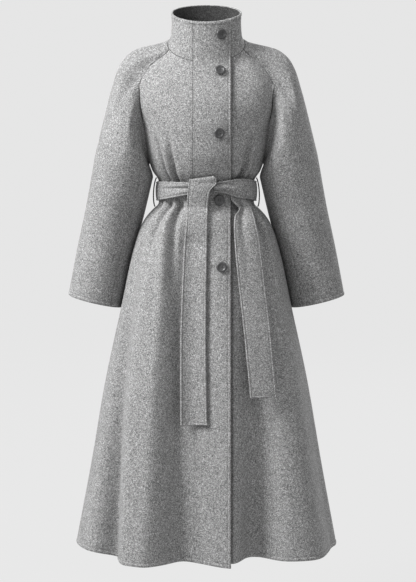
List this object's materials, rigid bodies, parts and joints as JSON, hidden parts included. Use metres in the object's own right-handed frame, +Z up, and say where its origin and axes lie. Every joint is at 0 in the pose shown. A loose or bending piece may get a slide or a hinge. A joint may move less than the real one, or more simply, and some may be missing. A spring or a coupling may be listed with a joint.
{
  "type": "belted coat",
  "caption": "Long A-line wool coat with a stand collar, raglan sleeves, an off-centre button placket and a tie belt knotted at the waist, held open as if worn.",
  "frame": {"origin": "middle of the neck opening at side-neck height, where the wearer's shoulders hold the coat", "axes": "+Z up, the coat's front faces -Y, the wearer's left is +X"},
  "size_m": [0.7, 0.4998, 1.3757],
  "materials": {
    "wool": "heathered grey wool melton, matte, brushed",
    "loop_braid": "dark grey braid, matte",
    "button": "dark grey, satin, horn look"
  },
  "bodies": {
    "root": {"front_right": "wool", "front_left": "wool", "placket": "wool", "back": "wool", "skirt_right": "wool", "skirt_left": "wool", "skirt_back": "wool", "sleeve_right_top": "wool", "sleeve_right_under": "wool", "sleeve_left_top": "wool", "sleeve_left_under": "wool", "collar": "wool", "belt_band": "wool", "belt_tail_front": "wool", "belt_tail_side": "wool", "belt_loop_right": "loop_braid", "belt_loop_left": "loop_braid", "button_1": "button", "button_2": "button", "button_3": "button", "button_4": "button", "button_5": "button"}
  },
  "joints": []
}
